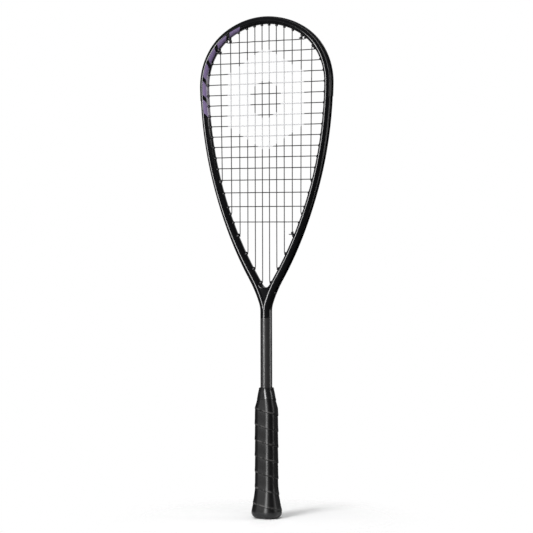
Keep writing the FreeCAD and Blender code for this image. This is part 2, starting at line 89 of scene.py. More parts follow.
RUN_OUT_STEP = 0.5
SHAFT_STEP = 10.0
HALVES_WELD = 0.002
LONGEST_CUT = 0.45             # share of a straight run that one rounded corner may take
SEAT_CLEARANCE = 0.15
BARREL = 1.9
BARREL_INSIDE = 2.0
THROAT_BARREL = 2.2
THROAT_INSIDE = 2.6
TIE_BARREL = 2.6
BORE = 0.85
TIE_BORE = 2.05
FLANGE = 3.0
FLANGE_THICKNESS = 0.8
FLANGE_EDGE = 0.2
BARREL_ROOT = 0.2
BARREL_EDGE = 0.3
THROAT_MAINS = 4
KNOT_TURNS = 3
KNOT_DROP = 1.2
KNOT_PITCH = 0.9               # in thicknesses of the string
KNOT_REACH = 2.02              # from the string's middle to the middle of a turn, in radii of the string
KNOT_START = 0.7               # share of the drop at which the turns begin
TIE_REACH = 0.8                # share of the drop that the string comes out before it turns into the knot
KNOT_STEPS = 20
MAIN_TAIL = (5.0, (-1.0, -0.3, -0.55))
THROAT_TAIL = (6.0, (-1.0, -0.3, 0.04))
HIDDEN_TAIL = (4.0, (-0.25, 1.0, -0.3))
WEB_TOP = 316.0
WEB_DEPTH = 12.4
WEB_EDGE = 3.0
WEB_FOOT = 3.0                 # from the top of the straight shaft
WEB_HOLLOW = 0.015             # share of its depth that the web is hollowed by
ON_PLANE = 1e-5                # how near a vertex has to be to lie on a cutting plane

HALF_BEAM = BEAM_WIDTH / 2
GROOVE_FLOOR = HALF_BEAM - GROOVE_DEPTH
STRIP_FLOOR = GROOVE_FLOOR + GAP
CHANNEL_FLOOR = STRIP_FLOOR + STRIP_BASE
STRING_SEAT = CHANNEL_FLOOR + SEAT_CLEARANCE + STRING / 2

# ---------------------------------------------------------------- the beam's centre line


def outward(heading):
    angle = math.radians(heading)
    return Vector((math.sin(angle), 0, math.cos(angle)))


class Arc:
    """A round stretch of the centre line; way is +1 round the head, -1 where the arms straighten."""

    def __init__(self, start, begin, heading, radius, angle, way):
        self.begin, self.heading, self.radius, self.way = begin, heading, radius, way
        self.end = begin + math.radians(angle) * radius
        self.end_heading = heading + way * angle
        self.centre = start - outward(heading) * (radius * way)
        self.end_point = self.centre + outward(self.end_heading) * (radius * way)


def centre_line():
    start, begin, heading = Vector((0, 0, TIP_HEIGHT)), 0.0, 0.0
    arcs = []
    for radius, angle in HEAD_ARCS:
        arcs.append(Arc(start, begin, heading, radius, angle, 1))
        start, begin, heading = arcs[-1].end_point, arcs[-1].end, arcs[-1].end_heading
    neck_turn = heading - 90 - ARM_TURN
    neck_reach = NECK_RADIUS * (1 - math.cos(math.radians(neck_turn)))
    reach = math.cos(math.radians(neck_turn)) - math.cos(math.radians(heading - 90))
    arm = Arc(start, begin, heading, (start.x - TUBE_OFFSET - neck_reach) / reach, ARM_TURN, -1)
    return arcs + [arm, Arc(arm.end_point, arm.end, arm.end_heading, NECK_RADIUS, neck_turn, -1)]


ARCS = centre_line()
LINE_END = ARCS[-1].end
SHAFT_TOP = ARCS[-1].end_point.z


def heading_at(s):
    for arc in ARCS:
        if s <= arc.end:
            return arc, arc.heading + arc.way * math.degrees((s - arc.begin) / arc.radius)
    return None, 90.0


def place(s, u=0.0, v=0.0):
    """Point of the racket at distance s, offset outwards by u and to the back by v."""
    arc, heading = heading_at(abs(s))
    if arc:
        point = arc.centre + outward(heading) * (arc.radius * arc.way + u)
    else:
        point = Vector((TUBE_OFFSET + u, 0, SHAFT_TOP - abs(s) + LINE_END))
    return Vector((math.copysign(1, s) * point.x, v, point.z))


def meet(point, direction, u):
    """Where a straight line first meets the curve at offset u from the centre line: its s."""
    found = []
    for arc in ARCS:
        radius = arc.radius + u * arc.way
        offset = point - arc.centre
        across = offset.dot(direction)
        inside = across * across - offset.length_squared + radius * radius
        if inside < 0:
            continue
        for distance in (-across - math.sqrt(inside), -across + math.sqrt(inside)):
            out = (point + direction * distance - arc.centre) * (arc.way / radius)
            turned = (math.degrees(math.atan2(out.x, out.z)) - arc.heading) * arc.way
            s = arc.begin + math.radians(turned) * arc.radius
            if distance > 0 and arc.begin <= s <= arc.end:
                found.append((distance, s))
    return min(found)[1]


def level(height):
    """Distance s of the place on the head's side at a height."""
    return meet(Vector((0, 0, height)), Vector((1, 0, 0)), 0.0)


# ---------------------------------------------------------------- string holes and routes
class Hole:
    """A string's way through the beam, square to it."""

    def __init__(self, point, direction, radius, bore, inside):
        self.radius, self.bore, self.inside = radius, bore, inside
        self.s = meet(point, direction, -HALF_BEAM - inside - STRING)
        self.mouth = self.at(-HALF_BEAM - inside - STRING)
        self.seat = self.at(STRING_SEAT)

    def at(self, u, v=0.0, side=1):
        return place(self.s * side, u, v)


def main_positions():
    positions = []
    x = -MAIN_GAPS[0] / 2
    for gap in MAIN_GAPS:
        x += gap
        positions.append(x)
    return [(x, MAIN_LEAN / 100 * (x / positions[-1]) ** LEAN_POWER) for x in positions]


def cross_heights():
    heights = [TOP_CROSS]
    for number in range(1, CROSS_COUNT):
        heights.append(heights[-1] - CROSS_PITCH - CROSS_OPENING * max(0, number - EVEN_GAPS) ** 2)
    return heights


def main_holes():
    holes = []
    for index, (x, lean) in enumerate(MAINS):
        start, slope = Vector((x, 0, LEAN_HEIGHT)), Vector((lean, 0, 1)).normalized()
        plain = (BARREL, BORE, BARREL_INSIDE)
        top, bottom = plain, plain
        if index >= THROAT_MAINS:
            top = (TIE_BARREL, TIE_BORE, BARREL_INSIDE)
        else:
            tied = index == THROAT_MAINS - 1
            bottom = (TIE_BARREL if tied else THROAT_BARREL, TIE_BORE if tied else BORE, THROAT_INSIDE)
        holes.append((Hole(start, slope, *top), Hole(start, -slope, *bottom)))
    return holes


MAINS = main_positions()
CROSSES = cross_heights()
MAIN_HOLES = main_holes()
CROSS_HOLES = [Hole(Vector((0, 0, z)), Vector((1, 0, 0)), BARREL, BORE, BARREL_INSIDE) for z in CROSSES]
HEAD_HOLES = [top for top, bottom in MAIN_HOLES] + [bottom for top, bottom in MAIN_HOLES[THROAT_MAINS:]]
HEAD_HOLES += CROSS_HOLES
THROAT_HOLES = [bottom for top, bottom in MAIN_HOLES[:THROAT_MAINS]]


def flip(point, side):
    return Vector((point.x * side, point.y, point.z))


def turn(first, last, v, side=1):
    """Points of a string's turn in the channel from one hole to another, moved aside by v."""
    lead = math.copysign(TURN_LEAD, last.s - first.s)
    start, end = first.s + lead, last.s - lead
    count = max(1, round(abs(end - start) / TURN_STEP))
    return [place(side * (start + (end - start) * k / count), STRING_SEAT, v) for k in range(count + 1)]


def tie(last, hole, v, side):
    """A string's end: along the channel and in through another string's hole, up to its knot."""
    stops = turn(last, hole, v, side) + [hole.at(STRING_SEAT, v, side)]
    return stops + [hole.at(-HALF_BEAM - hole.inside - KNOT_DROP * TIE_REACH, v, side)]


def main_route():
    """One string up and down all the mains from left to right, with a tie at each end."""
    order = [(index, -1) for index in reversed(range(len(MAINS)))]
    order += [(index, 1) for index in range(len(MAINS))]
    outer, tied = MAIN_HOLES[-1][0], MAIN_HOLES[-2][0]
    route = list(reversed(tie(outer, tied, SIDE_BY_SIDE, -1)))
    for number, (index, side) in enumerate(order):
        ends = MAIN_HOLES[index] if number % 2 == 0 else MAIN_HOLES[index][::-1]
        route += [flip(p, side) for p in (ends[0].seat, ends[0].mouth, ends[1].mouth, ends[1].seat)]
        if number + 1 < len(order) and order[number + 1][1] == side:
            following = MAIN_HOLES[order[number + 1][0]][number % 2 == 0]
            route += turn(ends[1], following, SIDE_BY_SIDE, side)
    return route + tie(outer, tied, SIDE_BY_SIDE, 1)


def cross_route():
    """One string woven to and fro from the throat up, tied at both ends."""
    route = list(reversed(tie(CROSS_HOLES[-1], THROAT_HOLES[-1], -SIDE_BY_SIDE, 1)))
    side = 1
    for row in reversed(range(CROSS_COUNT)):
        hole, z = CROSS_HOLES[row], CROSSES[row]
        inside = [x + lean * (z - LEAN_HEIGHT) for x, lean in MAINS]
        inside = [x for x in inside if x < hole.mouth.x - STRING]
        places = [-x for x in reversed(inside)] + inside
        stops = [flip(hole.seat, -1), flip(hole.mouth, -1)]
        for number, x in enumerate(places):
            over = 1 if (number + row - len(inside)) % 2 else -1
            stops.append(Vector((x, over * WEAVE, z)))
        stops += [hole.mouth, hole.seat]
        route += stops if side < 0 else stops[::-1]
        side = -side
        if row:
            route += turn(hole, CROSS_HOLES[row - 1], -SIDE_BY_SIDE, side)
    return route + tie(CROSS_HOLES[0], MAIN_HOLES[-1][0], -SIDE_BY_SIDE, -1)


def round_corners(route, step=math.radians(9)):
    """Points along straight runs joined by tangent arcs as large as the runs allow."""
    points = [route[0]]
    for before, corner, after in zip(route, route[1:], route[2:]):
        back, ahead = before - corner, after - corner
        half_turn = (math.pi - back.angle(ahead)) / 2
        if half_turn < 1e-4:
            continue
        wanted = WEAVE_RADIUS if abs(abs(corner.y) - WEAVE) < 1e-6 else TURN_RADIUS
        cut = min(wanted * math.tan(half_turn), LONGEST_CUT * min(back.length, ahead.length))
        radius = cut / math.tan(half_turn)
        back.normalize()
        ahead.normalize()
        first = corner + back * cut
        centre = corner + (back + ahead).normalized() * (radius / math.cos(half_turn))
        start = first - centre
        axis = back.cross(ahead).normalized()
        count = max(2, math.ceil(2 * half_turn / step))
        for k in range(count + 1):
            points.append(centre + Matrix.Rotation(-2 * half_turn * k / count, 3, axis) @ start)
    return points + [route[-1]]


# ---------------------------------------------------------------- mesh helpers
def add_ring(bm, points):
    return [bm.verts.new(p) for p in points]


def skin(bm, rings, closed=True, caps=True):
    """Faces between neighbouring rings of vertices, with a face over each end."""
    for low, high in zip(rings, rings[1:]):
        count = len(low)
        for k in range(count if closed else count - 1):
            after = (k + 1) % count
            bm.faces.new((low[k], low[after], high[after], high[k]))
    if caps and closed:
        bm.faces.new(rings[0][::-1])
        bm.faces.new(rings[-1])


def tube(bm, points, radius, run, sides=12):
    """Round tube along points; run is a vertex layer that keeps the distance and the angle."""
    rings = []
    distance = 0.0
    across = None
    for k, point in enumerate(points):
        along = (points[min(k + 1, len(points) - 1)] - points[max(k - 1, 0)]).normalized()
        if across is None:
            across = along.orthogonal().normalized()
        else:
            distance += (point - points[k - 1]).length
            across = (across - along * across.dot(along)).normalized()
        other = along.cross(across)
        ring = []
        for j in range(sides):
            angle = 2 * math.pi * j / sides
            vert = bm.verts.new(point + (across * math.cos(angle) + other * math.sin(angle)) * radius)
            vert[run] = Vector((distance, math.cos(angle), math.sin(angle)))
            ring.append(vert)
        rings.append(ring)
    skin(bm, rings)


def lathe(bm, origin, axis, profile, segments=24):
    """Surface turned about an axis; profile is a list of (distance along the axis, radius)."""
    across = axis.orthogonal().normalized()
    other = axis.cross(across)
    rings = []
    for along, radius in profile:
        ring = []
        for k in range(segments):
            angle = 2 * math.pi * k / segments
            ring.append(origin + axis * along + (across * math.cos(angle) + other * math.sin(angle)) * radius)
        rings.append(add_ring(bm, ring))
    skin(bm, rings, caps=False)


def make_piece(name, bm, material, replaced, sharp=38, weld=1e-4):
    """Turns a bmesh in millimetres into a piece in metres that rides on the racket."""
    bmesh.ops.remove_doubles(bm, verts=bm.verts, dist=weld)
    bmesh.ops.recalc_face_normals(bm, faces=bm.faces)
    limit = math.radians(sharp)
    for edge in bm.edges:
        edge.smooth = not (edge.is_manifold and edge.calc_face_angle(0) > limit)
    for face in bm.faces:
        face.smooth = True
    bmesh.ops.scale(bm, vec=(MM, MM, MM), verts=bm.verts)
    mesh = bpy.data.meshes.new(name)
    bm.to_mesh(mesh)
    bm.free()
    mesh.materials.append(material)
    piece = bpy.data.objects.new(name, mesh)
    bpy.context.scene.collection.objects.link(piece)
    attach(piece, "root")
    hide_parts(*replaced)


# ---------------------------------------------------------------- sections of the beam
def outer_half(z):
    """The beam's outer half width at a height of the centre line."""
    share = min(1.0, max(0.0, (WIDENING[0] - z) / (WIDENING[0] - WIDENING[1])))
    return HALF_BEAM + (SHAFT_OUTER_HALF - HALF_BEAM) * share * share * (3 - 2 * share)


def oval_u(v, by=0.0, half=HALF_BEAM):
    """Half width of the beam's oval at a place v across it, with the oval grown by a distance."""
    a = half + by
    ridge = RIDGE_RADIUS + by
    centre = BEAM_DEPTH / 2 - RIDGE_RADIUS
    side = (a * a + centre * centre - ridge * ridge) / (2 * (a - ridge))
    slope = math.atan2(centre, side - a)
    if abs(v) <= centre + ridge * math.sin(slope):
        return a - side + math.sqrt(side * side - v * v)
    return math.sqrt(max(0.0, ridge * ridge - (abs(v) - centre) ** 2))


def spread(first, last, count):
    return [first + (last - first) * k / count for k in range(count + 1)]


def beam_section(groove, outer):
    """Closed section of the beam, from the middle of its outer wall; groove is 0 where there is none."""
    half = GROOVE_WIDTH / 2
    corner = GROOVE_CORNER
    in_groove = [(GROOVE_FLOOR, v) for v in (0.0, half * 0.5, half - corner)]
    in_groove += [(GROOVE_FLOOR + corner, half), (oval_u(half, 0.0, outer) - corner, half)]
    points = [(oval_u(v, 0.0, outer) * (1 - groove) + u * groove, v) for u, v in in_groove]
    ridge_centre = BEAM_DEPTH / 2 - RIDGE_RADIUS
    sides = spread(half + corner, ridge_centre, 7)
    points += [(oval_u(v, 0.0, outer), v) for v in sides]
    for angle in spread(0, 180, 22)[1:-1]:
        v = ridge_centre + RIDGE_RADIUS * math.sin(math.radians(angle))
        points.append((oval_u(v, 0.0, outer) if angle < 90 else -oval_u(v), v))
    points += [(-oval_u(v), v) for v in spread(ridge_centre, 0.0, 10)]
    return points + [(u, -v) for u, v in reversed(points[1:-1])]


def guard_section():
    """Closed section of the head guard: a base in the groove and a cover that laps over the beam."""
    low = CHANNEL_WIDTH / 2
    base = GROOVE_WIDTH / 2 - GAP
    edge = GUARD_WIDTH / 2
    soft, lip, fold = 0.22, 0.05, 0.12
    points = [(CHANNEL_FLOOR, 0.0), (CHANNEL_FLOOR, low - soft), (CHANNEL_FLOOR + soft, low)]
    points += [(oval_u(low, GUARD_PROUD) - soft, low), (oval_u(low, GUARD_PROUD) - lip, low + soft * 0.6)]
    points += [(oval_u(v, GUARD_PROUD), v) for v in spread(low + 2 * soft, edge - 1.6 * soft, 5)]
    points += [(oval_u(edge, GUARD_PROUD) - fold, edge - 0.4 * soft), (oval_u(edge, GAP) + soft, edge)]
    points += [(oval_u(v, GAP), v) for v in spread(edge - 0.1, base, 3)]
    points += [(STRIP_FLOOR, base), (STRIP_FLOOR, 0.0)]
    return points + [(u, -v) for u, v in reversed(points[1:-1])]


def strip_section():
    """Closed section of a side strip: a channel for the string between two low rims."""
    low = CHANNEL_WIDTH / 2
    base = GROOVE_WIDTH / 2 - GAP
    rim = HALF_BEAM + STRIP_RIM
    soft = 0.2
    points = [(CHANNEL_FLOOR, 0.0), (CHANNEL_FLOOR, low - soft), (CHANNEL_FLOOR + soft, low)]
    points += [(rim - soft, low), (rim, low + soft), (rim, base - soft), (rim - soft, base)]
    points += [(STRIP_FLOOR, base), (STRIP_FLOOR, 0.0)]
    return points + [(u, -v) for u, v in reversed(points[1:-1])]


def sweep(bm, section, stations):
    """Carries a section along the beam through the given distances."""
    skin(bm, [add_ring(bm, [place(s, u, v) for u, v in section]) for s in stations])


def stations(start, end, step=BEAM_STEP):
    return spread(start, end, max(1, math.ceil(abs(end - start) / step)))


# ---------------------------------------------------------------- materials
class Finish:
    """One procedural material. Its nodes read the place on the object in millimetres."""

    def __init__(self, name, roughness=0.5, **fixed):
        self.material = bpy.data.materials.new(name)
        self.material.use_nodes = True
        self.tree = self.material.node_tree
        self.shader = self.tree.nodes["Principled BSDF"]
        self.put("Roughness", roughness)
        for socket, value in fixed.items():
            self.put(socket.replace("_", " "), value)
        spot = self.node("TexCoord").outputs["Object"]
        self.spot = self.node("VectorMath", {0: spot, "Scale": 1 / MM}, operation="SCALE").outputs[0]
        self.x, self.z = self.split(self.spot)[::2]

    def node(self, kind, inputs=None, **settings):
        made = self.tree.nodes.new("ShaderNode" + kind)
        for key, value in settings.items():
            setattr(made, key, value)
        for key, value in (inputs or {}).items():
            self.link(made.inputs[key], value)
        return made

    def link(self, socket, value):
        if isinstance(value, bpy.types.NodeSocket):
            self.tree.links.new(value, socket)
        else:
            socket.default_value = value

    def put(self, socket, value):
        self.link(self.shader.inputs[socket], value)

    def split(self, vector):
        parts = self.node("SeparateXYZ", {0: vector}).outputs
        return parts[0], parts[1], parts[2]

    def attribute(self, name):
        return self.split(self.node("Attribute", attribute_name=name).outputs["Vector"])

    def calc(self, operation, a, b=0.0):
        return self.node("Math", {0: a, 1: b}, operation=operation).outputs[0]

    def step(self, value, low, high):
        """0 below low and 1 above high, smooth between; falls instead where high is under low."""
        kind = {"interpolation_type": "SMOOTHSTEP"}
        ends = (low, high, 0.0, 1.0) if low < high else (high, low, 1.0, 0.0)
        inputs = dict(zip(("From Min", "From Max", "To Min", "To Max"), ends), Value=value)
        return self.node("MapRange", inputs, **kind).outputs[0]

    def within(self, value, low, high, soft=0.1):
        return self.calc("MULTIPLY", self.step(value, low - soft, low + soft),
                         self.step(value, high + soft, high - soft))

    def both(self, *masks):
        result = masks[0]
        for mask in masks[1:]:
            result = self.calc("MULTIPLY", result, mask)
        return result

    def either(self, *masks):
        result = masks[0]
        for mask in masks[1:]:
            result = self.calc("MAXIMUM", result, mask)
        return result

    def mix(self, share, a, b):
        made = self.node("Mix", data_type="RGBA")
        for number, value in ((0, share), (6, a), (7, b)):
            if isinstance(value, tuple):
                value = (*value, 1.0)
            self.link(made.inputs[number], value)
        return made.outputs[2]

    def blend(self, share, a, b):
        return self.node("Mix", {0: share, 2: a, 3: b}, data_type="FLOAT").outputs[0]

    def noise(self, size, detail=2.0, stretch=(1, 1, 1)):
        """Smooth noise from 0 to 1 whose features are about size millimetres."""
        at = self.node("VectorMath", {0: self.spot, 1: stretch}, operation="MULTIPLY").outputs[0]
        inputs = {"Vector": at, "Scale": 1 / size, "Detail": detail}
        return self.node("TexNoise", inputs).outputs[0]

    def cells(self, size, feature="F1"):
        inputs = {"Vector": self.spot, "Scale": 1 / size}
        return self.node("TexVoronoi", inputs, feature=feature).outputs["Distance"]

    def relief(self, height, depth, under=None):
        """Bump of a height from 0 to 1 that is depth millimetres high."""
        inputs = {"Height": height, "Distance": depth * MM}
        if under:
            inputs["Normal"] = under
        return self.node("Bump", inputs).outputs[0]


BLACK = (0.0025, 0.0025, 0.003)
BARS = (671.0, 540.5)          # heights between which the bars of colour run down the left side
BAR_COUNT = 6
BAR_SHARE = 0.74
BAR_SLANT = 1.1
LAVENDER = (0.173, 0.129, 0.243)
PALE_BAND = (612, 548)         # heights between which the middle of the left inner wall is pale
MARKS = (574, 466)             # heights between which grey marks run down the right side
MARK_PITCH = 18.0
MARK_LENGTH = 12.0
SATIN_TOP = 277.0              # height at which the gloss paint ends
SATIN_SLANT = 0.35
WEAVE_TURNS = 7.0              # radians of the carbon weave's pattern in a millimetre


def lacquer():
    """Painted carbon: gloss black head and arms with plain slanted bars of colour, satin charcoal shaft."""
    f = Finish("racket_lacquer", Specular_IOR_Level=0.42, Coat_Weight=0.25, Coat_Roughness=0.12)
    s, v, wall = f.attribute("beam")
    left = f.step(f.x, -0.5, -1.5)
    right = f.step(f.x, -0.5, 0.5)
    satin = f.step(f.calc("ADD", f.z, f.calc("MULTIPLY", v, -SATIN_SLANT)), SATIN_TOP + 0.2, SATIN_TOP - 0.2)
    fine = f.noise(0.35, 3)
    broad = f.noise(18, 2)
    slanted = f.calc("SUBTRACT", s, f.calc("MULTIPLY", v, BAR_SLANT))
    first, last = level(BARS[0]), level(BARS[1])
    pitch = (last - first) / BAR_COUNT
    along_bar = f.calc("MODULO", f.calc("SUBTRACT", slanted, first), pitch)
    bars = f.both(f.within(along_bar, 0.0, pitch * BAR_SHARE, 0.12), f.within(slanted, first, last, 0.12))
    inner = f.step(wall, -0.25, -0.35)
    faces = f.either(f.within(v, -8.3, -1.9, 0.08), f.within(v, 1.9, 8.3, 0.08))
    lavender = f.both(bars, faces, inner, left)
    pale_first, pale_last = level(PALE_BAND[0]), level(PALE_BAND[1])
    pale = f.both(f.within(s, pale_first, pale_last, 0.3), f.within(v, -1.7, 5.0, 0.08), inner, left)
    marks_first, marks_last = level(MARKS[0]), level(MARKS[1])
    along_mark = f.calc("MODULO", f.calc("SUBTRACT", slanted, marks_first), MARK_PITCH)
    marks = f.both(f.within(along_mark, 0.0, MARK_LENGTH, 0.15), f.within(s, marks_first, marks_last, 0.15))
    grey = f.both(marks, f.within(v, 4.6, 7.2, 0.1), f.step(wall, 0.25, 0.35), right)
    # painted reflection: a pale speckled streak painted down the front of the right tube's outer wall on the
    # satin shaft, standing in for the light from the right
    reflection_streak = f.both(f.within(v, -2.4, -0.5, 0.1), f.step(wall, 0.4, 0.5), right, satin)
    weave = f.calc("MULTIPLY", f.calc("SINE", f.calc("MULTIPLY", f.calc("ADD", s, v), WEAVE_TURNS)),
                   f.calc("SINE", f.calc("MULTIPLY", f.calc("SUBTRACT", s, v), WEAVE_TURNS)))
    threads = f.calc("MULTIPLY", f.calc("ADD", weave, fine), 0.5)
    charcoal = f.mix(threads, (0.012, 0.0115, 0.012), (0.040, 0.039, 0.039))
    colour = f.mix(satin, f.mix(broad, BLACK, (0.0045, 0.0045, 0.005)), charcoal)
    colour = f.mix(f.calc("MULTIPLY", reflection_streak, f.step(fine, 0.35, 0.6)), colour, (0.22, 0.22, 0.22))
    colour = f.mix(f.calc("MULTIPLY", pale, 0.8), colour, (0.66, 0.60, 0.68))
    colour = f.mix(lavender, colour, LAVENDER)
    colour = f.mix(f.calc("MULTIPLY", grey, f.step(fine, 0.3, 0.55)), colour, (0.16, 0.16, 0.17))
    scratches = f.step(f.noise(0.5, 4, (1, 1, 0.06)), 0.66, 0.74)
    worn = f.both(scratches, f.step(f.noise(14, 3), 0.5, 0.62))
    colour = f.mix(f.calc("MULTIPLY", worn, 0.3), colour, (0.06, 0.06, 0.065))
    f.put("Base Color", colour)
    rough = f.blend(satin, f.blend(broad, 0.17, 0.22), 0.34)
    f.put("Roughness", f.calc("ADD", rough, f.calc("MULTIPLY", worn, 0.25)))
    peel = f.relief(f.noise(1.6, 2), 0.004)
    cut = f.calc("ADD", f.calc("MULTIPLY", weave, satin), f.calc("MULTIPLY", worn, -0.6))
    f.put("Normal", f.relief(cut, 0.0015, peel))
    return f.material


def plastic(name, dark, light, roughness, grain=0.5, depth=0.02, wear=0.4):
    """Moulded plastic with a fine spark-eroded grain, and scuffs that turn it paler."""
    f = Finish(name, Specular_IOR_Level=0.3)
    grain_height = f.noise(grain, 4)
    cloud = f.noise(11, 3)
    scuffs = f.both(f.step(f.noise(0.8, 4, (1, 1, 0.15)), 0.6, 0.7), f.step(cloud, 0.46, 0.62))
    colour = f.mix(cloud, dark, light)
    f.put("Base Color", f.mix(f.calc("MULTIPLY", scuffs, wear), colour, (0.05, 0.05, 0.052)))
    clean = f.blend(cloud, roughness - 0.06, roughness + 0.06)
    f.put("Roughness", f.calc("ADD", clean, f.calc("MULTIPLY", scuffs, 0.15)))
    f.put("Normal", f.relief(grain_height, depth))
    return f.material


FIBRE_LAY = 1.7                # length of one turn of the string's outer wrap
INK_HEIGHT = 573.0             # middle of the ring of ink
INK_REACH = (25.0, 62.0)       # from the middle to the ring's inner and outer flats


def string_finish():
    """Dark string: a spiral outer wrap, a clear coat and white ink in a plain six-sided ring."""
    f = Finish("string_nylon", Specular_IOR_Level=0.3, Coat_Weight=0.1, Coat_Roughness=0.2)
    distance, cosine, sine = f.attribute("run")
    turns = f.calc("MULTIPLY", distance, 2 * math.pi / FIBRE_LAY)
    wrap = f.calc("ADD", f.calc("MULTIPLY", f.calc("SINE", turns), cosine),
                  f.calc("MULTIPLY", f.calc("COSINE", turns), sine))
    fibres = f.noise(0.22, 3, (1, 1, 0.3))
    hexagon = None
    dz = f.calc("SUBTRACT", f.z, INK_HEIGHT)
    for angle in (0, 60, 120):
        along = f.calc("ADD", f.calc("MULTIPLY", f.x, math.cos(math.radians(angle))),
                       f.calc("MULTIPLY", dz, math.sin(math.radians(angle))))
        away = f.calc("ABSOLUTE", along)
        hexagon = away if hexagon is None else f.calc("MAXIMUM", hexagon, away)
    ragged = f.calc("ADD", hexagon, f.calc("MULTIPLY", f.noise(2.5), 1.2))
    ring = f.within(ragged, INK_REACH[0], INK_REACH[1], 0.5)
    ink = f.both(ring, f.step(f.noise(0.7, 3), 0.22, 0.34))
    strand = f.calc("MULTIPLY", f.calc("ADD", wrap, 1.0), 0.5)
    colour = f.mix(strand, (0.006, 0.006, 0.0065), (0.014, 0.014, 0.015))
    colour = f.mix(f.step(fibres, 0.55, 0.8), colour, (0.022, 0.022, 0.023))
    f.put("Base Color", f.mix(ink, colour, (0.40, 0.40, 0.41)))
    f.put("Roughness", f.blend(ink, f.blend(fibres, 0.3, 0.42), 0.6))
    f.put("Normal", f.relief(f.calc("ADD", f.calc("MULTIPLY", wrap, 0.5), fibres), 0.03))
    return f.material


def grip_finish():
    """Soft polyurethane tape: pebbled skin with pores painted darker as shade, a hand's polish in the middle,
    and a painted highlight in patches along each lap's raised edge.
    """
    f = Finish("grip_polyurethane", Specular_IOR_Level=0.34)
    pebbles = f.cells(0.55)
    pores = f.step(f.cells(1.3), 0.12, 0.05)
    cloud = f.noise(9, 3)
    held = f.both(f.within(f.z, 60.0, 140.0, 25.0), f.step(cloud, 0.4, 0.7))
    creases = f.noise(1.5, 3, (1, 1, 3))
    colour = f.mix(cloud, (0.0020, 0.0019, 0.0021), (0.0040, 0.0038, 0.0040))
    colour = f.mix(f.calc("MULTIPLY", held, 0.3), colour, (0.012, 0.0112, 0.011))
    # painted highlight: the raised crest near each lap's lower edge is painted paler in patches, where light
    # catches it
    width = f.attribute("lap")[0]
    patches = f.step(f.noise(7, 2, (1, 1, 0.4)), 0.42, 0.62)
    lap_edge_highlight = f.calc("MULTIPLY", f.within(width, 0.5, 2.3, 0.5), patches)
    colour = f.mix(f.calc("MULTIPLY", lap_edge_highlight, 0.8), colour, (0.055, 0.053, 0.052))
    # painted shade: the pores are painted darker, as shade in the pits
    f.put("Base Color", f.mix(f.calc("MULTIPLY", pores, 0.5), colour, (0.0015, 0.0015, 0.0015)))
    f.put("Roughness", f.calc("SUBTRACT", f.blend(creases, 0.33, 0.41), f.calc("MULTIPLY", held, 0.04)))
    height = f.calc("SUBTRACT", f.calc("ADD", pebbles, f.calc("MULTIPLY", creases, 0.8)), pores)
    f.put("Normal", f.relief(height, 0.02))
    return f.material


def rubber_finish():
    """Glossy moulded rubber with faint flow marks and dust in its corners."""
    f = Finish("collar_rubber_skin", Coat_Weight=0.25, Coat_Roughness=0.15)
    cloud = f.noise(4, 3)
    dust = f.step(f.noise(0.5, 3), 0.62, 0.75)
    rubber = f.mix(cloud, (0.004, 0.004, 0.0045), (0.008, 0.008, 0.008))
    f.put("Base Color", f.mix(f.calc("MULTIPLY", dust, 0.25), rubber, (0.06, 0.06, 0.06)))
    f.put("Roughness", f.calc("ADD", f.blend(cloud, 0.24, 0.33), f.calc("MULTIPLY", dust, 0.15)))
    f.put("Normal", f.relief(f.noise(1.1, 3, (1, 1, 2)), 0.005))
    return f.material


def foam_finish():
    """Closed-cell foam: small round cells, with shade painted darker into their hollows."""
    f = Finish("moulded_foam", roughness=0.9)
    bubbles = f.cells(0.9, "SMOOTH_F1")
    colour = f.mix(f.step(bubbles, 0.1, 0.6), (0.50, 0.46, 0.36), (0.66, 0.62, 0.50))
    f.put("Base Color", f.mix(f.noise(14), colour, (0.58, 0.54, 0.43)))
    f.put("Normal", f.relief(bubbles, 0.25))
    return f.material


def steel_finish():
    """Drawn steel wire: fine lines along it and a little tarnish."""
    f = Finish("staple_steel", Metallic=1.0)
    lines = f.noise(0.12, 2, (0.1, 1, 1))
    tarnish = f.noise(1.5, 3)
    f.put("Base Color", f.mix(tarnish, (0.42, 0.41, 0.39), (0.58, 0.57, 0.55)))
    f.put("Roughness", f.blend(lines, 0.26, 0.42))
    f.put("Normal", f.relief(lines, 0.006))
    return f.material


LACQUER = lacquer()
GUARD_PLASTIC = plastic("guard_plastic", (0.005, 0.005, 0.0055), (0.010, 0.010, 0.011), 0.36,
                        grain=0.4, depth=0.015)
STRIP_PLASTIC = plastic("strip_plastic", (0.004, 0.004, 0.0045), (0.008, 0.008, 0.009), 0.42,
                        grain=0.35, depth=0.01, wear=0.25)
GROMMET_PLASTIC = plastic("grommet_plastic", (0.005, 0.005, 0.0055), (0.009, 0.009, 0.010), 0.34,
                          grain=0.3, depth=0.01, wear=0.2)
CAP_PLASTIC = plastic("cap_plastic", (0.006, 0.006, 0.0065), (0.011, 0.011, 0.012), 0.4,
                      grain=0.45, depth=0.02, wear=0.5)
STRING_NYLON = string_finish()
GRIP_SKIN = grip_finish()
RUBBER = rubber_finish()
FOAM = foam_finish()
STEEL = steel_finish()
VINYL = plastic("vinyl_tape_film", (0.016, 0.016, 0.017), (0.024, 0.024, 0.024), 0.5,
                grain=0.8, depth=0.015, wear=0.1)


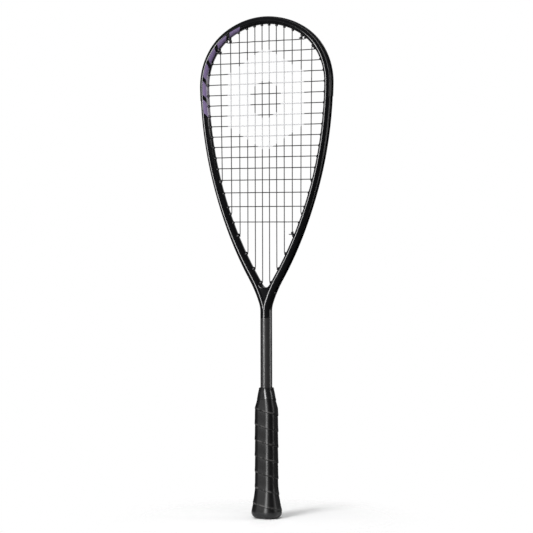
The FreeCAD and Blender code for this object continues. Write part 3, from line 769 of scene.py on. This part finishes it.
# ---------------------------------------------------------------- frame and its mouldings
def make_frame():
    """Both halves of the moulding: the beam carried round the head, down the arms and down the shaft."""
    bm = bmesh.new()
    beam = bm.verts.layers.float_vector.new("beam")
    groove_end = THROAT_HOLES[0].s + GROOVE_PAST_HOLE
    fade_start, fade_end = groove_end - GROOVE_RUN_OUT / 2, groove_end + GROOVE_RUN_OUT / 2
    foot = LINE_END + SHAFT_TOP - FRAME_FOOT

    def section(s):
        share = min(1.0, max(0.0, (fade_end - s) / GROOVE_RUN_OUT))
        return beam_section(share * share * (3 - 2 * share), outer_half(place(s).z))

    along = stations(0, fade_start) + stations(fade_start, fade_end, RUN_OUT_STEP)[1:]
    along += stations(fade_end, LINE_END)[1:] + stations(LINE_END, foot, SHAFT_STEP)[1:]
    rings = []
    for s in along:
        ring = []
        for u, v in section(s):
            vert = bm.verts.new(place(s, u, v))
            vert[beam] = Vector((s, v, u / HALF_BEAM))
            ring.append(vert)
        rings.append(ring)
    skin(bm, rings, caps=False)
    geometry = bm.verts[:] + bm.edges[:] + bm.faces[:]
    bmesh.ops.bisect_plane(bm, geom=geometry, dist=ON_PLANE, plane_co=(0, 0, 0), plane_no=(1, 0, 0),
                           clear_inner=True)
    copied = bmesh.ops.duplicate(bm, geom=bm.verts[:] + bm.edges[:] + bm.faces[:])["geom"]
    for vert in copied:
        if isinstance(vert, bmesh.types.BMVert):
            vert.co.x = -vert.co.x
    bmesh.ops.reverse_faces(bm, faces=[face for face in copied if isinstance(face, bmesh.types.BMFace)])
    make_piece("frame_shell", bm, LACQUER, ["frame"], weld=HALVES_WELD)


def make_web():
    """Wedge between the arms: a little hollow in front and behind, and rounded over into its saddle."""
    arm = ARCS[-2]
    side = arm.radius + HALF_BEAM
    rise = WEB_TOP - arm.centre.z
    radius = (arm.centre.x ** 2 + rise ** 2 - side ** 2) / (2 * (side - rise))
    touch = radius * arm.centre.x / (side + radius)
    edge, half, foot = WEB_EDGE, WEB_DEPTH / 2, SHAFT_TOP + WEB_FOOT
    front = [(half, z) for z in spread(foot, WEB_TOP - edge, 12)]
    for angle in spread(0, 90, 8)[1:]:
        turned = math.radians(angle)
        front.append((half - edge + edge * math.cos(turned), WEB_TOP - edge + edge * math.sin(turned)))
    bm = bmesh.new()
    rings = []
    for v, z in [(-v, z) for v, z in front] + front[::-1]:
        reach = place(level(z)).x
        weight = min(1.0, (z - foot) / (WEB_TOP - edge - foot))
        ring = []
        for share in spread(-1.0, 1.0, 24):
            x = share * reach
            lift = radius - math.sqrt(radius ** 2 - min(abs(x), touch) ** 2)
            hollow = 1 - WEB_HOLLOW * (1 - share * share)
            ring.append(Vector((x, v * hollow, z + lift * weight * weight)))
        rings.append(add_ring(bm, ring))
    skin(bm, rings, closed=False)
    make_piece("web_wedge", bm, LACQUER, ["throat_web"])


def barrel_profile(hole, outer):
    """From the channel's floor through the wall to a rounded mouth, and back up the bore."""
    end = -HALF_BEAM - hole.inside
    soft = BARREL_EDGE
    return [(outer, hole.radius), (end + soft, hole.radius), (end + soft * 0.3, hole.radius - soft * 0.3),
            (end, hole.radius - soft), (end, hole.bore + soft), (end + soft * 0.3, hole.bore + soft * 0.3),
            (end + soft, hole.bore), (outer, hole.bore)]


def add_barrels(bm, holes, sides):
    for hole in holes:
        for side in sides:
            origin = place(hole.s * side)
            axis = (place(hole.s * side, 1.0) - origin).normalized()
            lathe(bm, origin, axis, barrel_profile(hole, STRIP_FLOOR + BARREL_ROOT))


def make_guard():
    end = level(GUARD_END)
    bm = bmesh.new()
    sweep(bm, guard_section(), stations(-end, end))
    add_barrels(bm, [hole for hole in HEAD_HOLES if hole.s < end], (1, -1))
    make_piece("head_guard", bm, GUARD_PLASTIC, ["bumper_guard"])


def make_strips():
    start, end = level(GUARD_END) + STRIP_GAP, level(STRIP_END)
    for side, word in ((1, "right"), (-1, "left")):
        bm = bmesh.new()
        sweep(bm, strip_section(), stations(start * side, end * side))
        add_barrels(bm, [hole for hole in HEAD_HOLES if start < hole.s < end], (side,))
        make_piece("side_strip_" + word, bm, STRIP_PLASTIC, ["grommet_strip_" + word])


def make_throat_grommets():
    for number, hole in enumerate(THROAT_HOLES, 1):
        for side, word in ((1, "right"), (-1, "left")):
            bm = bmesh.new()
            origin = place(hole.s * side)
            axis = (place(hole.s * side, 1.0) - origin).normalized()
            top = STRIP_FLOOR + FLANGE_THICKNESS
            head = [(top, hole.bore), (top, FLANGE - FLANGE_EDGE), (top - FLANGE_EDGE, FLANGE),
                    (STRIP_FLOOR, FLANGE)]
            lathe(bm, origin, axis, head + barrel_profile(hole, STRIP_FLOOR))
            node = "throat_grommet_%s_%d" % (word, number)
            make_piece("throat_barrel_%s_%d" % (word, number), bm, GROMMET_PLASTIC, [node])


# ---------------------------------------------------------------- strings and knots
def make_string(name, route, node):
    bm = bmesh.new()
    run = bm.verts.layers.float_vector.new("run")
    tube(bm, round_corners(route), STRING / 2, run)
    make_piece(name, bm, STRING_NYLON, [node], sharp=60)


def make_knot(name, hole, down, side, cut_end):
    """A string's end wound round the string that leaves the same hole, and its cut tail."""
    bm = bmesh.new()
    run = bm.verts.layers.float_vector.new("run")
    ring = STRING / 2
    mouth = hole.at(-HALF_BEAM - hole.inside)
    top = Vector((line_x(hole, mouth.z), 0, mouth.z))
    start = -1.0 if "cross" in name else 1.0
    points = []
    count = KNOT_TURNS * KNOT_STEPS
    for k in range(count + 1):
        angle = 2 * math.pi * (k - count) / KNOT_STEPS + math.pi / 2
        offset = Vector((math.sin(angle), start * math.cos(angle), 0)) * (KNOT_REACH * ring)
        rise = STRING * KNOT_PITCH * (count - k) / KNOT_STEPS
        points.append(top + offset + down * (KNOT_DROP * KNOT_START + rise))
    length, way = cut_end
    tail = Vector(way).normalized()
    end = points[-1]
    points += [end + tail * (length * share) for share in (0.1, 0.3, 0.6, 1.0)]
    tube(bm, [flip(p, side) for p in points], ring, run)
    make_piece(name + "_wrap", bm, STRING_NYLON, [name], sharp=60)


def line_x(hole, z):
    for (x, lean), pair in zip(MAINS, MAIN_HOLES):
        if hole in pair:
            return x + lean * (z - LEAN_HEIGHT)


# ---------------------------------------------------------------- handle
GRIP_SIZE = (30.0, 25.5, 9.0)
GRIP_TOP_SIZE = (24.2, 22.0, 8.8)
FLARE_SIZE = (40.0, 36.0, 14.5)
GRIP_THICKNESS = 1.8
FLARE_HEIGHT = 10.0
FLARE_START = 46.0
FLARE_POWER = 1.5
TAPER_START = 150.0
GRIP_BOTTOM = 9.6
GRIP_TOP = 163.5
GRIP_PAST_TOP = 0.6
WRAP_PITCH = 21.6
WRAP_FIRST = -3.8              # height of the first wrap's lower edge at the middle of the front
WRAP_STEPS = 96
WRAP_BELOW = 0.6               # turns that start below the butt and are cut off
COLLAR_SEGMENTS = 72
COLLAR = ((163.6, (24.7, 22.5, 9.0)), (177.4, (18.2, 20.6, 7.6)), (179.4, (17.0, 19.2, 7.2)))


def between(low, high, share):
    return tuple(a + (b - a) * share for a, b in zip(low, high))


def handle_size(z):
    """Width, depth and corner radius over the grip at a height."""
    if z < FLARE_START:
        share = (FLARE_START - max(z, FLARE_HEIGHT)) / (FLARE_START - FLARE_HEIGHT)
        return between(GRIP_SIZE, FLARE_SIZE, share ** FLARE_POWER)
    if z > TAPER_START:
        return between(GRIP_SIZE, GRIP_TOP_SIZE, (z - TAPER_START) / (GRIP_TOP - TAPER_START))
    return GRIP_SIZE


def around(size, share):
    """Point and outward normal on a rounded rectangle; share of the way round from the front's middle."""
    a, b, radius = size[0] / 2, size[1] / 2, size[2]
    quarter = math.pi / 2 * radius
    runs = (a - radius, quarter, 2 * (b - radius), quarter, 2 * (a - radius), quarter,
            2 * (b - radius), quarter, a - radius)
    left = share % 1.0 * sum(runs)
    place_x, place_y, heading = 0.0, -b, 0.0
    for number, run in enumerate(runs):
        part = min(left, run)
        if number % 2:
            middle_x = place_x - radius * math.sin(heading)
            middle_y = place_y + radius * math.cos(heading)
            heading += part / radius
            place_x = middle_x + radius * math.sin(heading)
            place_y = middle_y - radius * math.cos(heading)
        else:
            place_x += part * math.cos(heading)
            place_y += part * math.sin(heading)
        left -= part
        if left <= 0:
            break
    return Vector((place_x, place_y, 0)), Vector((math.sin(heading), -math.cos(heading), 0))


def ribbon_profile():
    """Closed section of the tape: height above its lower edge, and distance out from the pallet."""
    skived = [(0.35, 0.9), (-0.1, 1.3), (-0.28, 1.6), (-0.12, 1.88), (0.3, 2.06), (1.0, 2.12)]
    back = [(2.6, 2.06), (4.6, 1.88), (7.5, 1.76), (11.0, 1.72), (15.0, 1.66), (18.5, 1.56)]
    hidden = [(20.6, 1.42), (22.2, 1.1), (23.4, 0.7), (23.4, 0.3), (12.0, 0.3), (2.0, 0.4)]
    return skived + back + hidden


def cut_level(bm, height, keep_above):
    """Cuts a closed mesh at a height and closes it again."""
    geometry = bm.verts[:] + bm.edges[:] + bm.faces[:]
    normal = (0, 0, 1) if keep_above else (0, 0, -1)
    cut = bmesh.ops.bisect_plane(bm, geom=geometry, dist=ON_PLANE, plane_co=(0, 0, height), plane_no=normal,
                                 clear_inner=True)["geom_cut"]
    bmesh.ops.holes_fill(bm, edges=[e for e in cut if isinstance(e, bmesh.types.BMEdge)], sides=0)


def make_grip():
    """Tape wound up the pallet, each turn lapping over the one below; lap keeps the place across it."""
    bm = bmesh.new()
    lap = bm.verts.layers.float_vector.new("lap")
    profile = ribbon_profile()
    turns = (GRIP_TOP - WRAP_FIRST) / WRAP_PITCH + 2 * WRAP_BELOW
    rings = []
    for k in range(int(turns * WRAP_STEPS)):
        turned = k / WRAP_STEPS
        low = WRAP_FIRST - WRAP_PITCH * WRAP_BELOW + WRAP_PITCH * turned
        ring = []
        for w, out in profile:
            z = low + w
            size = handle_size(min(max(z, GRIP_BOTTOM), GRIP_TOP))
            spot, normal = around(size, -turned + WRAP_BELOW)
            ring.append(spot + normal * (out - GRIP_THICKNESS) + Vector((0, 0, z)))
        rings.append(add_ring(bm, ring))
        for vert, (w, out) in zip(rings[-1], profile):
            vert[lap] = Vector((w, 0, 0))
    skin(bm, rings)
    cut_level(bm, GRIP_BOTTOM, True)
    cut_level(bm, GRIP_TOP + GRIP_PAST_TOP, False)
    make_piece("grip_wrap", bm, GRIP_SKIN, ["grip_tape"], sharp=50)


def make_collar():
    """Rubber sleeve with a rolled top lip and a thin lower edge."""
    bm = bmesh.new()
    bottom, shoulder, top = COLLAR

    def size(z):
        if z < shoulder[0]:
            return between(bottom[1], shoulder[1], (z - bottom[0]) / (shoulder[0] - bottom[0]))
        return between(shoulder[1], top[1], (z - shoulder[0]) / (top[0] - shoulder[0]))

    rows = [(163.6, -1.4), (163.6, -0.25), (163.75, -0.05), (164.2, 0.0), (166.6, 0.0), (166.9, -0.12),
            (167.2, 0.0)]
    rows += [(z, 0.12 * math.sin(math.pi * (z - 167.2) / 9.2)) for z in spread(167.8, 175.8, 9)]
    rows += [(176.2, -0.12), (176.5, -0.2), (176.8, -0.05), (177.2, 0.18), (177.8, 0.3), (178.4, 0.28),
             (179.0, 0.05), (179.35, -0.3), (179.4, -0.7), (178.6, -1.0)]
    rings = []
    for z, grow in rows:
        width, depth, radius = size(z)
        grown = (width + 2 * grow, depth + 2 * grow, radius + grow)
        spots = [around(grown, k / COLLAR_SEGMENTS)[0] for k in range(COLLAR_SEGMENTS)]
        rings.append(add_ring(bm, [spot + Vector((0, 0, z)) for spot in spots]))
    skin(bm, rings, caps=False)
    make_piece("collar_sleeve", bm, RUBBER, ["rubber_collar"], sharp=60)


def paint_cad():
    """Materials for the CAD nodes whose shape is right as it is."""
    finishes = {"butt_cap": CAP_PLASTIC, "handle_pallet": FOAM, "tube_plug_left": FOAM,
                "tube_plug_right": FOAM, "cap_staple_front": STEEL, "cap_staple_back": STEEL,
                "grip_tack": STEEL, "finishing_tape": VINYL}
    for name, material in finishes.items():
        for material_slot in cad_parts[name].material_slots:
            material_slot.material = material


# ---------------------------------------------------------------- studio
VIEW_TURN = 32.0               # from straight in front of the racket to its right
VIEW_DISTANCE = 2976.3
VIEW_HEIGHT = 409.2
VIEW_PITCH = -1.240
VIEW_ROLL = -0.14
VIEW_SHIFT = 0.0007            # share of the frame's width
LENS = 147.1
SENSOR_WIDTH = 36.0
CLIP_START = 0.1               # metres


def facing(azimuth, pitch=0.0):
    """Direction in which something at an azimuth looks to see the racket's axis."""
    turned, raised = math.radians(azimuth), math.radians(pitch)
    level_part = math.cos(raised)
    return Vector((-math.sin(turned) * level_part, math.cos(turned) * level_part, math.sin(raised)))


def make_camera():
    camera = bpy.data.objects.new("camera", bpy.data.cameras.new("camera"))
    bpy.context.scene.collection.objects.link(camera)
    back = facing(VIEW_TURN) * -VIEW_DISTANCE
    camera.location = Vector((back.x, back.y, VIEW_HEIGHT)) * MM
    look = facing(VIEW_TURN, VIEW_PITCH).to_track_quat("-Z", "Y").to_matrix()
    camera.rotation_euler = (look @ Matrix.Rotation(math.radians(VIEW_ROLL), 3, "Z")).to_euler()
    camera.data.lens = LENS
    camera.data.sensor_width = SENSOR_WIDTH
    camera.data.shift_x = VIEW_SHIFT
    camera.data.clip_start = CLIP_START
    bpy.context.scene.camera = camera


# Area lights: azimuth round the racket, height, distance from its axis, width and height of the panel,
# watts, and the height on the axis that it is aimed at. Metres.
LIGHTS = {
    "key_softbox": (-5, 0.6, 1.7, (0.55, 1.8), 58, 0.36),
    "back_wall": (195, 0.5, 1.9, (1.6, 1.8), 4, 0.36),
    "right_wall": (122, 0.5, 1.8, (0.6, 1.0), 7, 0.36),
    "top_softbox": (20, 2.6, 0.5, (2.4, 2.4), 60, 0.0),
}
SURROUND = (0.94, 0.96, 1.0, 1.0)
SURROUND_STRENGTH = 0.03       # what the surround adds to the light; the camera sees it white


def add_light(name, azimuth, height, distance, size, power, aim):
    data = bpy.data.lights.new(name, "AREA")
    data.shape = "RECTANGLE"
    data.size, data.size_y = size
    data.energy = power
    light = bpy.data.objects.new(name, data)
    bpy.context.scene.collection.objects.link(light)
    back = facing(azimuth) * -distance
    light.location = (back.x, back.y, height)
    light.rotation_euler = (Vector((0, 0, aim)) - light.location).to_track_quat("-Z", "Y").to_euler()
    light.visible_camera = False
    return light


def make_studio():
    made = {name: add_light(name, *settings) for name, settings in LIGHTS.items()}
    made["top_softbox"].visible_glossy = False
    world = bpy.data.worlds.new("studio")
    world.use_nodes = True
    bpy.context.scene.world = world
    tree = world.node_tree
    back = tree.nodes["Background"]
    back.inputs["Color"].default_value = SURROUND
    back.inputs["Strength"].default_value = SURROUND_STRENGTH
    white = tree.nodes.new("ShaderNodeBackground")
    white.inputs["Color"].default_value = (1, 1, 1, 1)
    white.inputs["Strength"].default_value = 1.0
    seen = tree.nodes.new("ShaderNodeLightPath")
    join = tree.nodes.new("ShaderNodeMixShader")
    tree.links.new(seen.outputs["Is Camera Ray"], join.inputs[0])
    tree.links.new(back.outputs[0], join.inputs[1])
    tree.links.new(white.outputs[0], join.inputs[2])
    tree.links.new(join.outputs[0], tree.nodes["World Output"].inputs["Surface"])
    bpy.context.scene.view_settings.view_transform = "Standard"


FLOOR_RADIUS = 4.0             # metres
FLOOR_FADE = (240.0, 40.0)     # from the racket's axis: the floor is clear beyond, and solid within


def make_floor():
    """Round pale floor that fades into the white surround."""
    bm = bmesh.new()
    bmesh.ops.create_circle(bm, cap_ends=True, segments=96, radius=FLOOR_RADIUS)
    mesh = bpy.data.meshes.new("floor")
    bm.to_mesh(mesh)
    bm.free()
    floor = bpy.data.objects.new("floor", mesh)
    bpy.context.scene.collection.objects.link(floor)
    f = Finish("pale_floor", roughness=0.55)
    away = f.node("VectorMath", {0: f.spot}, operation="LENGTH").outputs["Value"]
    f.put("Base Color", f.mix(f.noise(30, 3), (0.90, 0.90, 0.90), (0.93, 0.93, 0.93)))
    f.put("Alpha", f.step(away, *FLOOR_FADE))
    mesh.materials.append(f.material)


make_camera()
make_studio()
make_floor()
make_frame()
make_web()
make_guard()
make_strips()
make_throat_grommets()
make_string("mains", main_route(), "main_string")
make_string("crosses", cross_route(), "cross_string")
DOWN = Vector((0, 0, -1))
make_knot("main_knot_right", MAIN_HOLES[-2][0], DOWN, 1, MAIN_TAIL)
make_knot("main_knot_left", MAIN_HOLES[-2][0], DOWN, -1, HIDDEN_TAIL)
make_knot("cross_knot_top", MAIN_HOLES[-1][0], DOWN, -1, HIDDEN_TAIL)
make_knot("cross_knot_throat", THROAT_HOLES[-1], -DOWN, 1, THROAT_TAIL)
make_grip()
make_collar()
paint_cad()
